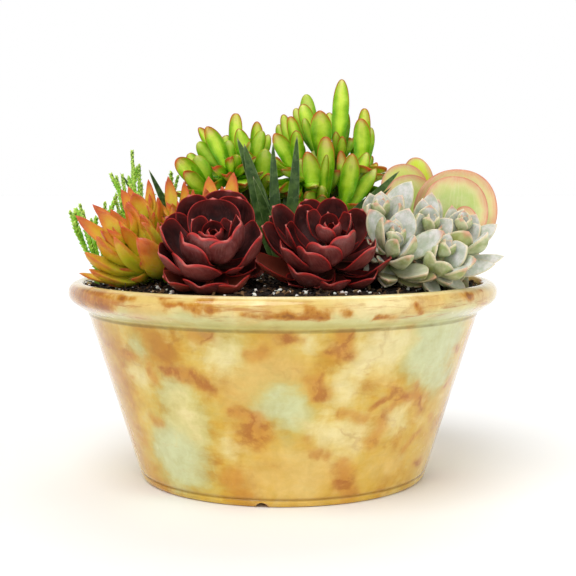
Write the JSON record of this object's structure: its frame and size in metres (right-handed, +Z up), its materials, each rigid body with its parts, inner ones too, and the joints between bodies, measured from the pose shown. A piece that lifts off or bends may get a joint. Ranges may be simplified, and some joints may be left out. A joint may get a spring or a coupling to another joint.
{
  "type": "succulent dish garden",
  "caption": "Tapered glazed bowl of soil planted with fleshy rosettes, upright leafy stems, spear leaves, round paddle leaves and slender scaly stems.",
  "frame": {"origin": "centre of the pot's foot ring on the surface it stands on", "axes": "+Z up, -Y towards the side that the picture shows, +X to that side's right"},
  "size_m": [0.2144, 0.2144, 0.1996],
  "materials": {
    "burgundy_leaf": "satin",
    "golden_leaf": "satin",
    "ghost_leaf": "matte",
    "jade_leaf": "satin",
    "spear_leaf": "satin",
    "paddle_leaf": "satin",
    "chain_leaf": "satin",
    "marbled_glaze": "gloss",
    "dark_soil": "matte"
  },
  "bodies": {
    "root": {"chain_plant_back": "chain_leaf", "chain_plant_left": "chain_leaf", "chain_plant_rear": "chain_leaf", "echeveria_back": "burgundy_leaf", "echeveria_left": "burgundy_leaf", "echeveria_rear": "burgundy_leaf", "echeveria_right": "burgundy_leaf", "ghost_plant_1": "ghost_leaf", "ghost_plant_2": "ghost_leaf", "ghost_plant_3": "ghost_leaf", "ghost_plant_4": "ghost_leaf", "ghost_plant_5": "ghost_leaf", "ghost_plant_back": "ghost_leaf", "ghost_plant_rear": "ghost_leaf", "golden_sedum_back": "golden_leaf", "golden_sedum_behind": "golden_leaf", "golden_sedum_front": "golden_leaf", "golden_sedum_middle": "golden_leaf", "golden_sedum_rear": "golden_leaf", "jade_back": "jade_leaf", "jade_left": "jade_leaf", "jade_right": "jade_leaf", "paddle_plant": "paddle_leaf", "pot": "marbled_glaze", "soil": "dark_soil", "spear_plant_centre": "spear_leaf", "spear_plant_left": "spear_leaf"}
  },
  "joints": []
}
